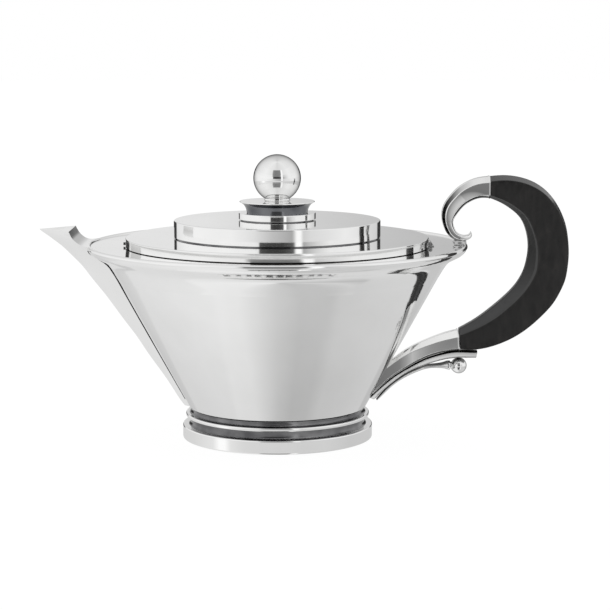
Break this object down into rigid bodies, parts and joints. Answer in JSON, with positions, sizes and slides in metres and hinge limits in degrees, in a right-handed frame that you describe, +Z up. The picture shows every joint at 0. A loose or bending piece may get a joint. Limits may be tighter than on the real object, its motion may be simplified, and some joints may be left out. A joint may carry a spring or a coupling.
{
  "type": "teapot",
  "caption": "Low silver teapot: conical pot on a stepped foot, V-shaped spout, stepped hinged lid with a ball knob, scrolled handle with a black grip.",
  "frame": {"origin": "centre of the foot's underside, on the pot's axis", "axes": "+X from the spout towards the handle, +Z up, +Y away from the side with the spout on the left"},
  "size_m": [0.2632, 0.1888, 0.1414],
  "materials": {
    "silver": "mirror polished silver",
    "silver_dark": "oxidised silver in the recess",
    "silver_inside": "satin silver, not polished",
    "ebony": "satin black ebony"
  },
  "bodies": {
    "pot": {"body_floor": "silver_inside", "body_shell": "silver", "drop_ball": "silver", "drop_collar": "silver", "drop_stem": "silver", "foot_band": "silver", "foot_collar": "silver", "foot_groove": "silver_dark", "foot_neck": "silver_dark", "grip": "ebony", "handle_saddle": "silver", "handle_scroll": "silver", "hinge_pin": "silver_inside", "hinge_pot_leaf": "silver", "lid_seat": "silver_inside", "lower_arm": "silver", "lower_ferrule": "silver", "lower_leaf": "silver", "lower_tang": "silver_inside", "rim_wire": "silver", "shoulder_plate": "silver", "spout_bridge": "silver", "spout_shell": "silver", "strainer": "silver_inside", "upper_ferrule": "silver", "upper_tang": "silver_inside"},
    "lid": {"hinge_lid_knuckle": "silver", "knob_ball": "silver", "knob_collar": "silver", "knob_flare": "silver", "knob_nut": "silver_inside", "knob_stud": "silver_inside", "knob_washer": "silver_inside", "lid_bezel": "silver_inside", "lid_catch_nib": "silver", "lid_dome_step": "silver", "lid_flange": "silver"}
  },
  "joints": [
    {"name": "lid_hinge", "type": "hinge", "parent": "pot", "child": "lid", "pos_m": [0.0757, 0, 0.09715], "axis": [0, 1, 0], "range_deg": [0, 75]}
  ]
}
